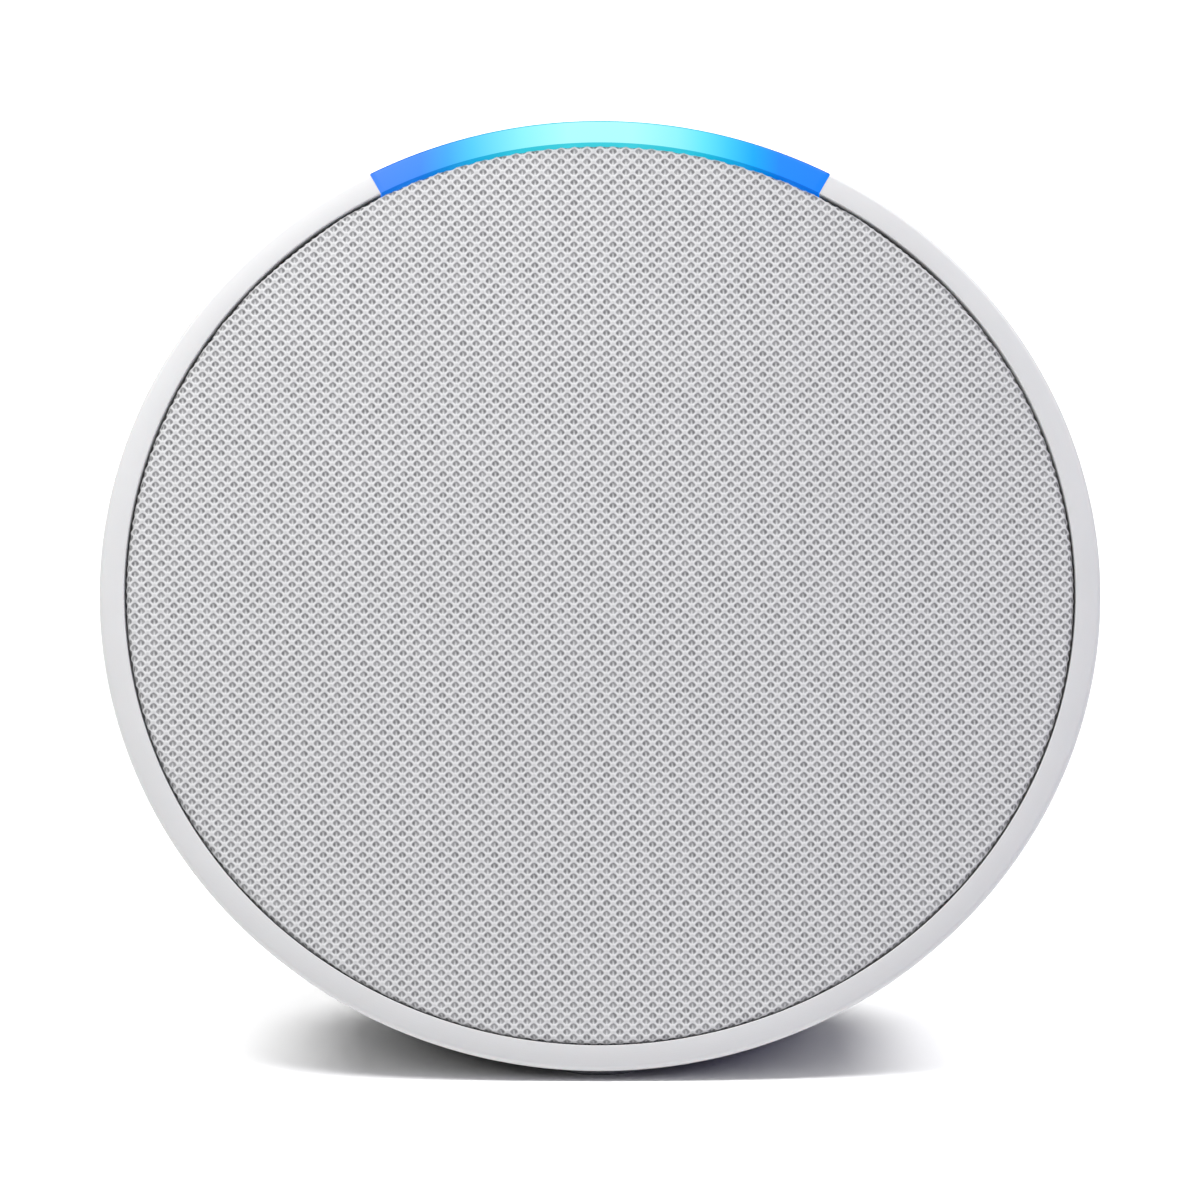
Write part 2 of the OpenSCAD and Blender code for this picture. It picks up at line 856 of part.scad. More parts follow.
rear_shell();
foot();
grille_frame();
grille_fabric();
light_bar();
leds();
led_board();
light_shroud();
speaker_baffle();
baffle_screws();
speaker_enclosure();
driver_basket();
driver_screws();
driver_gasket();
driver_yoke();
driver_magnet();
driver_pole_plate();
voice_coil();
speaker_cone();
dust_cap();
driver_surround();
driver_spider();
speaker_wires();
speaker_connector();
main_board();
board_screws();
shield_can();
thermal_pad();
heat_sink();
antennas();
board_connectors();
ribbon_cable();
top_bracket();
button_flex();
snap_domes();
microphones();
mic_gaskets();
volume_down_button();
microphone_button();
volume_up_button();
power_board();
power_connector();
power_board_screws();
dc_jack();
dc_jack_pin();
power_wires();
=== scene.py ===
"""The looks of a half-dome smart speaker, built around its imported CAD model.

The housing, the buttons, the light bar, the foot and the knitted front are made here as fine
meshes. Everything inside keeps its CAD shape and gets a material. Lengths are in metres.
"""

import json
import math

import bmesh
import bpy
import numpy as np
from mathutils import Matrix, Vector
from mathutils.bvhtree import BVHTree


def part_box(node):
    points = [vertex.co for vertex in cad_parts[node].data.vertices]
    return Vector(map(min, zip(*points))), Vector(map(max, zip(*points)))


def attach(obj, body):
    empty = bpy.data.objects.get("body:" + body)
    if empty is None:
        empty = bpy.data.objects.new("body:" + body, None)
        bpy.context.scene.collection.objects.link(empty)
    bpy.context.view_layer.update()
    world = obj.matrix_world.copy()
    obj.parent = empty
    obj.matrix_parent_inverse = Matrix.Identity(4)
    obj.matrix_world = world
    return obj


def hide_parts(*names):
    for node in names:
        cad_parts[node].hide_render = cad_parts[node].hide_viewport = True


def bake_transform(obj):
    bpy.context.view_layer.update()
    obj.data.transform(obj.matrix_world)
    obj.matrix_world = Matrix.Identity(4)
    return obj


MM = 0.001

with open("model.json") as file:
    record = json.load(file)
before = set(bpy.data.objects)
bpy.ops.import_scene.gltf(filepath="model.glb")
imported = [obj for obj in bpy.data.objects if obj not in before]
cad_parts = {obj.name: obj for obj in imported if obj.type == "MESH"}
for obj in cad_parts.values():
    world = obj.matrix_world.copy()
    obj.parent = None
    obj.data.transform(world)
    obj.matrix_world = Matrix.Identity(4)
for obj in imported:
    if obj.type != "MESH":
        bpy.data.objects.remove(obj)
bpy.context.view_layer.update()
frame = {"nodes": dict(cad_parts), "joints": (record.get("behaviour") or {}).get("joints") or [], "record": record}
nodes = frame["nodes"]
joints = {joint["name"]: joint for joint in frame["joints"]}

# ---- Sizes that the frame doesn't give ----

WALL = 2.0 * MM
DOME_R = 46.0 * MM
# The gap between the ring and the fabric
SEAM = 0.3 * MM

RING_SEGMENTS = 288
# The ring's front: its outer rounding, its inner lip, how it falls outwards and how it swells
RING_EDGE_R = 0.5 * MM
RING_LIP_R = 0.10 * MM
RING_FALL = 0.12 * MM
RING_CROWN = 0.05 * MM
# The way the ring's surface faces where the crown starts and ends, in degrees from outwards
RING_NORMAL_IN = 92
RING_NORMAL_OUT = 78

# The lit bar: half the angle it spans, the gap at each end, and how proud and how deep it stands
BAR_HALF_ANGLE = 27.7
BAR_GAP_ANGLE = 0.12
BAR_STEPS = 80
BAR_PROUD = 0.06 * MM
BAR_DEPTH = 4.5 * MM

# The fabric stands this far behind the ring, and its yarn swells a little past its CAD disc
CLOTH_FRONT = -0.1 * MM
CLOTH_SWELL = 0.1 * MM
CLOTH_EDGE_R = 0.35 * MM
CLOTH_TURN_DOWN = 1.3 * MM
HOLE_PITCH_X = 1.295 * MM
HOLE_PITCH_Y = 1.10 * MM
YARN_DEPTH = 0.13 * MM
YARN_DIP = 0.05 * MM

BUTTON_HOLE_R = 4.75 * MM
BUTTON_CAP_R = 4.45 * MM
BUTTON_EDGE_R = 0.45 * MM
BUTTON_DISH = 0.12 * MM
# A cap's height above the dome's sphere at its axis, and how far its edge lies below that, as
# the sphere falls away there
BUTTON_CROWN = 0.35 * MM
BUTTON_SAG = 0.22 * MM
BUTTON_ROOT = 3 * MM
# The raised marks, as (width, length) bars: a bar, a dot and a plus
MARK_LONG = 2.6 * MM
MARK_THIN = 0.5 * MM
MARK_DOT = 1.3 * MM
MARKS = {
    "volume_down": [(MARK_LONG, MARK_THIN)],
    "microphone": [(MARK_DOT, MARK_DOT)],
    "volume_up": [(MARK_LONG, MARK_THIN), (MARK_THIN, MARK_LONG)],
}
MIC_HOLE_R = 0.5 * MM

# The loudspeaker's surround and spider, each cut into sectors
FLEX_SECTORS = 12
FLEX_STEPS = 6
# How far in from such a ring's outer edge the basket's hold on it ends and the cone's starts
SURROUND_RIM = 2.2 * MM
SPIDER_RIM = 0.6 * MM

# ---- Places, worked out from the frame ----

# The cone slides along the front's axis, so its joint gives the way the front faces
NORMAL = Vector(joints["cone_travel"]["axis"]).normalized()
RIGHT = Vector((1, 0, 0))
UP = NORMAL.cross(RIGHT)


def disc(node):
    """The middle, radius and thickness of a node that is a disc square to the front's axis."""
    low, high = (Vector(corner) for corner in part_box(node))
    radius = (high.x - low.x) / 2
    thick = (high.y - low.y - 2 * radius * NORMAL.z) / abs(NORMAL.y)
    return (low + high) / 2, radius, thick


cloth_middle, cloth_disc_r, cloth_thick = disc("grille_fabric")
CLOTH_R = cloth_disc_r + CLOTH_SWELL
FACE_CENTRE = cloth_middle + NORMAL * (cloth_thick / 2 - CLOTH_FRONT)

shell_low, shell_high = (Vector(corner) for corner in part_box("rear_shell"))
foot_low, foot_high = (Vector(corner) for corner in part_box("foot"))
RING_R = (shell_high.x - shell_low.x) / 2
OPENING_R = cloth_disc_r + SEAM
BAR_HALF_WIDTH = RING_R * math.sin(math.radians(BAR_HALF_ANGLE))

# The dome's sphere touches the back of the box, and its top lies level with the top of the ring
DOME_UP = RING_R - DOME_R
dome_away = shell_high.y - DOME_R - FACE_CENTRE.y
dome_drop = (dome_away * NORMAL.z - DOME_UP) / -NORMAL.y
DOME_BACK = dome_away * -NORMAL.y + dome_drop * NORMAL.z
DOME_CENTRE = FACE_CENTRE + UP * DOME_UP - NORMAL * DOME_BACK

# The power inlet is a mount in the record, and its recess ends where the socket's face is
inlet_record = next(mount for mount in frame["record"]["mounts"] if mount["name"] == "power_inlet")
INLET_R = inlet_record["dims"]["r_mm"] * MM
INLET_Z = inlet_record["pos_m"][2]
INLET_FLOOR_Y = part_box("dc_jack")[1][1]


def on_face(x, y, z):
    """The point x to the right, y up the front and z out of it, from the centre of the front."""
    return FACE_CENTRE + RIGHT * x + UP * y + NORMAL * z


# ---- Mesh helpers ----

def new_object(name, data):
    """Puts a mesh, a camera or a light into the scene."""
    obj = bpy.data.objects.new(name, data)
    bpy.context.scene.collection.objects.link(obj)
    return obj


def mesh_object(name, points, faces):
    """A smoothly shaded mesh."""
    mesh = bpy.data.meshes.new(name)
    mesh.from_pydata([tuple(p) for p in points], [], faces)
    mesh.polygons.foreach_set("use_smooth", [True] * len(mesh.polygons))
    mesh.update()
    return new_object(name, mesh)


def loft(name, rings, closed_ends=False):
    """A mesh through closed rings that all have as many points. A ring of one point is a pole."""
    points = []
    faces = []
    starts = []
    for ring in rings:
        starts.append(len(points))
        points.extend(ring)
    for low, high in zip(range(len(rings) - 1), range(1, len(rings))):
        a, b = starts[low], starts[high]
        count_a, count_b = len(rings[low]), len(rings[high])
        count = max(count_a, count_b)
        for i in range(count):
            j = (i + 1) % count
            if count_a == 1:
                faces.append((a, b + j, b + i))
            elif count_b == 1:
                faces.append((a + i, a + j, b))
            else:
                faces.append((a + i, a + j, b + j, b + i))
    if closed_ends:
        faces.append(tuple(starts[0] + i for i in reversed(range(len(rings[0])))))
        faces.append(tuple(starts[-1] + i for i in range(len(rings[-1]))))
    return mesh_object(name, points, faces)


def lathe(name, profile, matrix, segments=96):
    """Turns a profile of (radius, height) pairs around local Z. A radius of 0 is a pole."""
    rings = []
    for radius, height in profile:
        if radius == 0:
            rings.append([matrix @ Vector((0, 0, height))])
            continue
        ring = []
        for i in range(segments):
            angle = 2 * math.pi * i / segments
            ring.append(matrix @ Vector((radius * math.cos(angle), radius * math.sin(angle), height)))
        rings.append(ring)
    return loft(name, rings)


def arc(centre, radius, start, end, steps):
    """Points on an arc around centre, from one angle to another, in degrees."""
    points = []
    for i in range(steps + 1):
        angle = math.radians(start + (end - start) * i / steps)
        points.append((centre[0] + radius * math.cos(angle), centre[1] + radius * math.sin(angle)))
    return points


def apply_modifier(obj, kind, **settings):
    """Adds a modifier to obj and bakes it into the mesh."""
    modifier = obj.modifiers.new(kind.lower(), kind)
    for key, value in settings.items():
        setattr(modifier, key, value)
    bpy.context.view_layer.objects.active = obj
    with bpy.context.temp_override(object=obj, active_object=obj, selected_objects=[obj]):
        bpy.ops.object.modifier_apply(modifier=modifier.name)


def shade_edges(obj, degrees=35):
    """Keeps edges sharp where the faces meet at more than an angle."""
    limit = math.radians(degrees)
    mesh = bmesh.new()
    mesh.from_mesh(obj.data)
    for edge in mesh.edges:
        edge.smooth = edge.calc_face_angle(0) < limit
    mesh.to_mesh(obj.data)
    mesh.free()


def cut(obj, cutter):
    """Takes cutter's shape out of obj, and removes cutter."""
    apply_modifier(obj, "BOOLEAN", operation="DIFFERENCE", solver="EXACT", object=cutter)
    bpy.data.objects.remove(cutter)


def smooth_tree(obj):
    """A search tree of obj's faces, with its corner points and their smooth normals."""
    mesh = obj.data
    points = [vertex.co.copy() for vertex in mesh.vertices]
    normals = [vertex.normal.copy() for vertex in mesh.vertices]
    mesh.calc_loop_triangles()
    triangles = [tuple(triangle.vertices) for triangle in mesh.loop_triangles]
    return BVHTree.FromPolygons(points, triangles), points, normals, triangles


def blended_normal(place, corner_points, corner_normals):
    """The normal at place, mixed from a triangle's three corners."""
    a, b, c = corner_points
    whole = (b - a).cross(c - a)
    area = whole.length_squared
    if area == 0:
        return corner_normals[0]
    u = (c - b).cross(place - b).dot(whole) / area
    v = (a - c).cross(place - c).dot(whole) / area
    mixed = corner_normals[0] * u + corner_normals[1] * v + corner_normals[2] * (1 - u - v)
    return mixed.normalized()


def shade_like(obj, tree, within_degrees=14):
    """Gives obj the smooth shading of the surface that it was cut from, and flat cut faces."""
    search, points, normals, triangles = tree
    mesh = obj.data
    near = math.cos(math.radians(within_degrees))
    shading = [None] * len(mesh.loops)
    for face in mesh.polygons:
        for index in face.loop_indices:
            place = mesh.vertices[mesh.loops[index].vertex_index].co
            _, _, hit, _ = search.find_nearest(place)
            corners = triangles[hit]
            normal = blended_normal(place, [points[k] for k in corners], [normals[k] for k in corners])
            shading[index] = normal if normal.dot(face.normal) > near else face.normal
    mesh.normals_split_custom_set(shading)


# ---- Materials ----

class Shader:
    """A short way to write a material's nodes."""

    def __init__(self, name):
        self.material = bpy.data.materials.new(name)
        self.material.use_nodes = True
        self.tree = self.material.node_tree
        self.surface = self.tree.nodes["Principled BSDF"]
        self.place = self.tree.nodes.new("ShaderNodeTexCoord").outputs["Object"]

    def node(self, kind, inputs=(), **settings):
        """A new node, with a value or a link for each of its inputs."""
        made = self.tree.nodes.new("ShaderNode" + kind)
        for key, value in settings.items():
            setattr(made, key, value)
        for key, value in dict(inputs).items():
            self.put(made.inputs[key], value)
        return made

    def put(self, socket, value):
        """Links value to the socket if it is another socket, and sets it otherwise."""
        if isinstance(value, bpy.types.NodeSocket):
            self.tree.links.new(value, socket)
        else:
            socket.default_value = value

    def set(self, **values):
        """Sets inputs of the surface, with _ for a space in their names."""
        for key, value in values.items():
            self.put(self.surface.inputs[key.replace("_", " ")], value)

    def math(self, operation, a, b=0.0, c=0.0):
        return self.node("Math", {0: a, 1: b, 2: c}, operation=operation).outputs[0]

    def noise(self, scale, detail=2.0, place=None):
        inputs = {"Vector": place or self.place, "Scale": scale, "Detail": detail, "Roughness": 0.5}
        return self.node("TexNoise", inputs).outputs["Fac"]

    def ramp(self, factor, stops):
        """A colour ramp from (position, (r, g, b)) stops."""
        made = self.node("ValToRGB", {"Fac": factor})
        band = made.color_ramp
        band.interpolation = "LINEAR"
        while len(band.elements) < len(stops):
            band.elements.new(0.5)
        for element, (position, colour) in zip(band.elements, stops):
            element.position = position
            element.color = (*colour, 1)
        return made.outputs["Color"]

    def between(self, factor, low, high):
        """A number that goes from low to high as factor goes from 0 to 1."""
        return self.node("MapRange", {0: factor, 1: 0.0, 2: 1.0, 3: low, 4: high}).outputs[0]

    def step(self, value, start, end):
        """0 below start and 1 above end, with a smooth change between, or the reverse."""
        made = self.node("MapRange", {0: value, 1: start, 2: end, 3: 0.0, 4: 1.0})
        made.interpolation_type = "SMOOTHSTEP"
        return made.outputs[0]

    def bump(self, height, distance):
        inputs = {"Height": height, "Distance": distance, "Strength": 1.0}
        return self.node("Bump", inputs).outputs["Normal"]

    def mix(self, factor, low, high):
        """One colour where factor is 0 and another where it is 1."""
        return self.node("Mix", {0: factor, 6: low, 7: high}, data_type="RGBA").outputs[2]


def grained(name, colour, roughness, metallic=0.0, grain=3000.0, depth=0.01 * MM, tone=0.06, **more):
    """Moulded or cast stuff: a fine grain, a slight change of tone and an uneven gloss."""
    shader = Shader(name)
    fine = shader.noise(grain, 3.0)
    broad = shader.noise(grain / 60, 2.0)
    dark = tuple(c * (1 - tone) for c in colour)
    light = tuple(min(1.0, c * (1 + tone)) for c in colour)
    shader.set(
        Base_Color=shader.ramp(broad, [(0.35, dark), (0.65, light)]),
        Roughness=shader.between(fine, roughness - 0.06, roughness + 0.06),
        Normal=shader.bump(fine, depth),
        Metallic=metallic,
        **more,
    )
    return shader.material


def brushed(name, colour, roughness=0.3):
    """Metal with fine lines along X."""
    shader = Shader(name)
    stretched = shader.node("Mapping", {"Vector": shader.place, "Scale": (0.05, 1, 1)}).outputs[0]
    lines = shader.noise(9000.0, 3.0, stretched)
    dark = tuple(c * 0.82 for c in colour)
    shader.set(
        Base_Color=shader.ramp(lines, [(0.3, dark), (0.7, colour)]),
        Roughness=shader.between(lines, roughness - 0.08, roughness + 0.12),
        Normal=shader.bump(lines, 0.004 * MM),
        Metallic=1.0,
    )
    return shader.material


def circuit_board():
    """Green lacquer over copper tracks, with bare pads."""
    shader = Shader("circuit_board")
    tracks = shader.node("TexBrick", {
        "Vector": shader.place, "Scale": 420.0, "Mortar Size": 0.06,
        "Color1": (0.010, 0.115, 0.045, 1), "Color2": (0.014, 0.140, 0.055, 1),
        "Mortar": (0.030, 0.230, 0.095, 1),
    })
    pads = shader.node("TexVoronoi", {"Vector": shader.place, "Scale": 520.0}).outputs["Distance"]
    gold = shader.step(pads, 0.14, 0.10)
    shader.set(
        Base_Color=shader.mix(gold, tracks.outputs["Color"], (0.72, 0.52, 0.22, 1)),
        Metallic=shader.math("MULTIPLY", gold, 0.9),
        Roughness=shader.between(gold, 0.28, 0.4),
        Normal=shader.bump(tracks.outputs["Fac"], 0.01 * MM),
    )
    return shader.material


def woven(name, colour, threads):
    """Plain woven cloth, with threads per metre, and shade painted where the threads dip."""
    shader = Shader(name)
    parts = shader.node("SeparateXYZ", {0: shader.place})
    over_x = shader.math("SINE", shader.math("MULTIPLY", parts.outputs[0], threads * math.pi))
    over_z = shader.math("SINE", shader.math("MULTIPLY", parts.outputs[2], threads * math.pi))
    weave = shader.math("MULTIPLY", over_x, over_z)
    height = shader.math("MULTIPLY_ADD", weave, 0.5, 0.5)
    # Painted shade: the cloth is darker where the threads dip
    dark = tuple(c * 0.55 for c in colour)
    shader.set(
        Base_Color=shader.ramp(height, [(0.0, dark), (1.0, colour)]),
        Roughness=0.9,
        Normal=shader.bump(height, 0.08 * MM),
    )
    return shader.material


def foam(name, colour):
    """Open-cell foam, with shade painted into its pores."""
    shader = Shader(name)
    cells = shader.node("TexVoronoi", {"Vector": shader.place, "Scale": 2600.0}).outputs["Distance"]
    # Painted shade: darker in the middle of each cell, where its pore lies
    dark = tuple(c * 0.3 for c in colour)
    shader.set(
        Base_Color=shader.ramp(cells, [(0.05, dark), (0.4, colour)]),
        Roughness=0.95,
        Normal=shader.bump(cells, 0.12 * MM),
    )
    return shader.material


def housing_plastic():
    """Satin white plastic with a barely seen moulded grain."""
    shader = Shader("housing_plastic")
    grain = shader.noise(5200.0, 2.0)
    patches = shader.noise(60.0, 3.0)
    shader.set(
        Base_Color=shader.ramp(patches, [(0.30, (0.441, 0.441, 0.444)), (0.70, (0.459, 0.459, 0.462))]),
        Roughness=shader.between(patches, 0.44, 0.52),
        Specular_IOR_Level=0.35,
        Normal=shader.bump(grain, 0.004 * MM),
        Subsurface_Weight=0.05,
        Subsurface_Scale=0.4 * MM,
    )
    return shader.material


# The painted shade in a stitch's hole, as dark lobes: x and y in mm from its middle, size and greatest darkness
HOLE_SHADE_LOBES = [(-0.20, -0.02, 0.12, 1.15), (0.20, -0.01, 0.12, 1.15), (0.02, 0.19, 0.10, 0.7)]


def knit_fabric():
    """Light yarn in a diamond knit, with shade painted into its holes. The weave attribute counts holes along the
    two diagonals.
    """
    shader = Shader("knit_fabric")
    # Where a point lies from the middle of its hole: along the diagonals, and in mm across and up
    weave = shader.node("Attribute", attribute_name="weave").outputs["Vector"]
    parts = shader.node("SeparateXYZ", {0: weave})
    s, t = parts.outputs[0], parts.outputs[1]
    s_hole, t_hole = shader.math("ROUND", s), shader.math("ROUND", t)
    from_s, from_t = shader.math("SUBTRACT", s, s_hole), shader.math("SUBTRACT", t, t_hole)
    across = shader.math("MULTIPLY", shader.math("ADD", from_s, from_t), 0.5 * HOLE_PITCH_X / MM)
    upward = shader.math("MULTIPLY", shader.math("SUBTRACT", from_s, from_t), 0.5 * HOLE_PITCH_Y / MM)
    across = shader.math("ADD", across, shader.between(shader.noise(900.0, 1.0), -0.05, 0.05))
    upward = shader.math("ADD", upward, shader.between(shader.noise(700.0, 1.0), -0.05, 0.05))

    # The hole's painted shade is a diamond with round corners, and each hole has lobes of painted shade, each of
    # its own darkness
    cube_s = shader.math("POWER", shader.math("ABSOLUTE", from_s), 3.0)
    cube_t = shader.math("POWER", shader.math("ABSOLUTE", from_t), 3.0)
    from_hole = shader.math("POWER", shader.math("ADD", cube_s, cube_t), 1 / 3)
    hole = shader.step(from_hole, 0.44, 0.32)
    which_hole = shader.node("CombineXYZ", {0: s_hole, 1: t_hole}).outputs[0]
    chance = shader.node("TexWhiteNoise", {"Vector": which_hole}, noise_dimensions="3D").outputs["Color"]
    chances = shader.node("SeparateXYZ", {0: chance}).outputs
    lobes = 0.0
    for (lobe_x, lobe_y, size, darkest_shade), dice in zip(HOLE_SHADE_LOBES, chances):
        dx = shader.math("SUBTRACT", across, lobe_x)
        dy = shader.math("MULTIPLY", shader.math("SUBTRACT", upward, lobe_y), 0.6)
        squared = shader.math("MULTIPLY_ADD", dx, dx, shader.math("MULTIPLY", dy, dy))
        spot = shader.math("EXPONENT", shader.math("DIVIDE", squared, -size * size))
        lobes = shader.math("MULTIPLY_ADD", spot, shader.between(dice, 0.2, darkest_shade), lobes)
    # A strand of yarn crosses the hole, from its lower edge to a little above its middle, and the hole's painted
    # shade is lighter there
    beside = shader.step(shader.math("ABSOLUTE", across), 0.13, 0.03)
    strand = shader.math("MULTIPLY", beside, shader.step(upward, 0.26, 0.12))
    shadow = shader.math("MULTIPLY", hole, shader.math("MULTIPLY_ADD", strand, -0.30, 0.50))
    # depth is how dark the hole's painted shade is: its base shade with the lobes' shade added
    depth = shader.math("MULTIPLY_ADD", lobes, 0.55, shadow)

    # The yarn is fuzzy, a little uneven over the cloth and darker where two strands cross
    crossing = shader.math("MULTIPLY", shader.math("MULTIPLY", cube_s, cube_t), 64.0)
    fibres = shader.noise(5200.0, 3.0)
    patches = shader.between(shader.noise(70.0, 2.0), 0.40, 0.60)
    uneven = shader.math("MULTIPLY_ADD", crossing, -0.8, patches)
    yarn_light = shader.math("MULTIPLY_ADD", fibres, 0.25, uneven)
    yarn = shader.ramp(yarn_light, [(0.2, (0.400, 0.400, 0.403)), (0.9, (0.531, 0.531, 0.535))])
    # inside is the painted shade's colour, from grey in the hole to near black in its lobes
    inside = shader.ramp(depth, [(0.35, (0.30, 0.30, 0.303)), (1.0, (0.122, 0.122, 0.125))])
    height = shader.math("MULTIPLY_ADD", fibres, 0.4, shader.math("MULTIPLY", lobes, -0.8))
    shader.set(
        Base_Color=shader.mix(shader.step(depth, 0.06, 0.42), yarn, inside),
        Roughness=0.92,
        Normal=shader.bump(height, 0.05 * MM),
        Sheen_Weight=0.10,
        Sheen_Roughness=0.5,
    )
    return shader.material


def lit_plastic(name, shade):
    """Milky plastic lit from behind: blue at its ends, cyan between and nearly white in the middle. Shade
    multiplies the glow, so that a darker copy carries painted shade.
    """
    shader = Shader(name)
    side = shader.node("SeparateXYZ", {0: shader.place}).outputs[0]
    along = shader.math("MULTIPLY_ADD", side, 0.5 / BAR_HALF_WIDTH, 0.5)
    stops = [
        (0.00, (0.070, 0.255, 1.00)), (0.11, (0.062, 0.280, 1.00)), (0.168, (0.052, 0.415, 0.98)),
        (0.222, (0.080, 0.620, 1.00)), (0.276, (0.165, 0.765, 0.97)), (0.332, (0.265, 0.910, 0.97)),
        (0.43, (0.430, 1.00, 1.00)), (0.57, (0.430, 1.00, 1.00)), (0.668, (0.275, 0.910, 0.97)),
        (0.724, (0.130, 0.810, 0.98)), (0.778, (0.046, 0.620, 1.00)), (0.832, (0.004, 0.420, 1.00)),
        (0.89, (0.010, 0.255, 1.00)), (1.00, (0.008, 0.225, 1.00)),
    ]
    tinted = [(place, tuple(c * s for c, s in zip(colour, shade))) for place, colour in stops]
    shader.set(
        Base_Color=(0.004, 0.012, 0.03, 1),
        Roughness=0.5,
        Specular_IOR_Level=0.10,
        Emission_Color=shader.ramp(along, tinted),
        Emission_Strength=1.0,
        Normal=shader.bump(shader.noise(4000.0), 0.004 * MM),
    )
    return shader.material


# ---- The housing ----

def tangent_angle(rim_r, rim_z, ball_r, rim_round, phi):
    """How far a straight wall from the rim leans in, in radians, where it meets the ball."""
    a = rim_r - DOME_UP * math.cos(phi)
    b = -(rim_z + DOME_BACK)
    return math.atan2(b, a) + math.acos((ball_r - rim_round) / math.hypot(a, b))


def wall_points(rim_r, rim_z, ball_r, rim_round, phi, line_steps, ball_steps):
    """A wall from the rim back to the pole of the ball, as (outwards, z, base) triples.

    Outwards is measured from the point that lies base up the front from its centre.
    """
    lean = tangent_angle(rim_r, rim_z, ball_r, rim_round, phi)
    out, back = math.cos(lean), -math.sin(lean)
    start = (rim_r + rim_round * out, rim_z + rim_round * back, 0.0)
    end = (ball_r * out, ball_r * back - DOME_BACK, DOME_UP)
    points = []
    for i in range(line_steps + 1):
        part = i / line_steps
        points.append(tuple(a + (b - a) * part for a, b in zip(start, end)))
    for i in range(1, ball_steps):
        turn = lean + (math.pi / 2 - lean) * i / ball_steps
        points.append((ball_r * math.cos(turn), -ball_r * math.sin(turn) - DOME_BACK, DOME_UP))
    return points


def ring_front(proud=0.0):
    """The ring's front as (radius, z), from its outer rounding over the crown to its inner lip."""
    edge = (RING_R - RING_EDGE_R + proud, proud - RING_EDGE_R - RING_FALL)
    lip = (OPENING_R + RING_LIP_R, proud - RING_LIP_R)
    outside = arc(edge, RING_EDGE_R, 0, RING_NORMAL_OUT, 7)
    inside = arc(lip, RING_LIP_R, RING_NORMAL_IN, 180, 6)
    (start_r, start_z), (end_r, end_z) = outside[-1], inside[0]
    crown = []
    steps = 8
    for i in range(1, steps):
        part = i / steps
        bulge = RING_CROWN * 4 * part * (1 - part)
        crown.append((start_r + (end_r - start_r) * part, start_z + (end_z - start_z) * part + bulge))
    return outside + crown + inside


def shell_profile(phi):
    """The shell's outline at one angle: round the back, over the ring and back inside."""
    rim_z = -RING_EDGE_R - RING_FALL
    outer = wall_points(
        RING_R - RING_EDGE_R, rim_z, DOME_R, RING_EDGE_R, phi, line_steps=14, ball_steps=44
    )
    inner = wall_points(
        OPENING_R, -RING_LIP_R, DOME_R - WALL, 0.0, phi, line_steps=10, ball_steps=24
    )
    front = [(r, z, 0.0) for r, z in ring_front()]
    return outer[::-1] + front[:-1] + inner


def shell_skin():
    """The whole shell, closed, before anything is cut out of it."""
    profiles = [shell_profile(2 * math.pi * i / RING_SEGMENTS) for i in range(RING_SEGMENTS)]
    rings = [[on_face(0, DOME_UP, -DOME_BACK - DOME_R)]]
    for row in range(len(profiles[0])):
        ring = []
        for i, profile in enumerate(profiles):
            phi = 2 * math.pi * i / RING_SEGMENTS
            out, z, base = profile[row]
            ring.append(on_face(out * math.sin(phi), base + out * math.cos(phi), z))
        rings.append(ring)
    rings.append([on_face(0, DOME_UP, -DOME_BACK - DOME_R + WALL)])
    return loft("shell_skin", rings)


def flatten_inside(obj, level):
    """Lifts the inner wall to a flat floor."""
    for vertex in obj.data.vertices:
        inside = (vertex.co - DOME_CENTRE).length < DOME_R - WALL / 2
        if inside and vertex.co.z < level:
            vertex.co.z = level


def cut_flat_below(obj, level):
    """Cuts obj off at a level and closes it with a flat face."""
    mesh = bmesh.new()
    mesh.from_mesh(obj.data)
    everything = list(mesh.verts) + list(mesh.edges) + list(mesh.faces)
    cut_edges = bmesh.ops.bisect_plane(
        mesh, geom=everything, dist=1e-7, plane_co=(0, 0, level), plane_no=(0, 0, 1), clear_inner=True
    )["geom_cut"]
    rim = [part for part in cut_edges if isinstance(part, bmesh.types.BMEdge)]
    bmesh.ops.holes_fill(mesh, edges=rim)
    mesh.to_mesh(obj.data)
    mesh.free()
    obj.data.update()


def radial_matrix(axis):
    """Points local Z along axis, from the dome's centre, and local X along the row of buttons."""
    across = axis.cross(NORMAL).normalized()
    turn = Matrix((across, axis.cross(across), axis)).transposed().to_4x4()
    return Matrix.Translation(DOME_CENTRE) @ turn


def cut_countersunk(obj, radius, axis, past_wall, chamfer):
    """Cuts a round hole through the dome's wall and past it, that opens out by chamfer outside."""
    above = 3 * MM
    low = DOME_R - WALL - past_wall
    high = DOME_R + above
    profile = [
        (0, low), (radius, low), (radius, DOME_R - chamfer),
        (radius + chamfer + above, high), (0, high),
    ]
    cut(obj, lathe("cutter", profile, radial_matrix(axis), 72))


def button_axis(name):
    """Out of the dome, along which a button travels."""
    return -Vector(joints[name]["axis"]).normalized()


def mic_axes():
    """Out of the dome through each microphone hole: between and beside the buttons."""
    step = math.asin(button_axis("volume_up_press").x)
    return [UP * math.cos(step * k) + RIGHT * math.sin(step * k) for k in (-1.5, -0.5, 0.5, 1.5)]


# ---- The knitted front ----

def cloth_span():
    """How far the cloth reaches from its centre, measured along it: over the edge and down."""
    return CLOTH_R - CLOTH_EDGE_R + CLOTH_EDGE_R * math.pi / 2 + CLOTH_TURN_DOWN


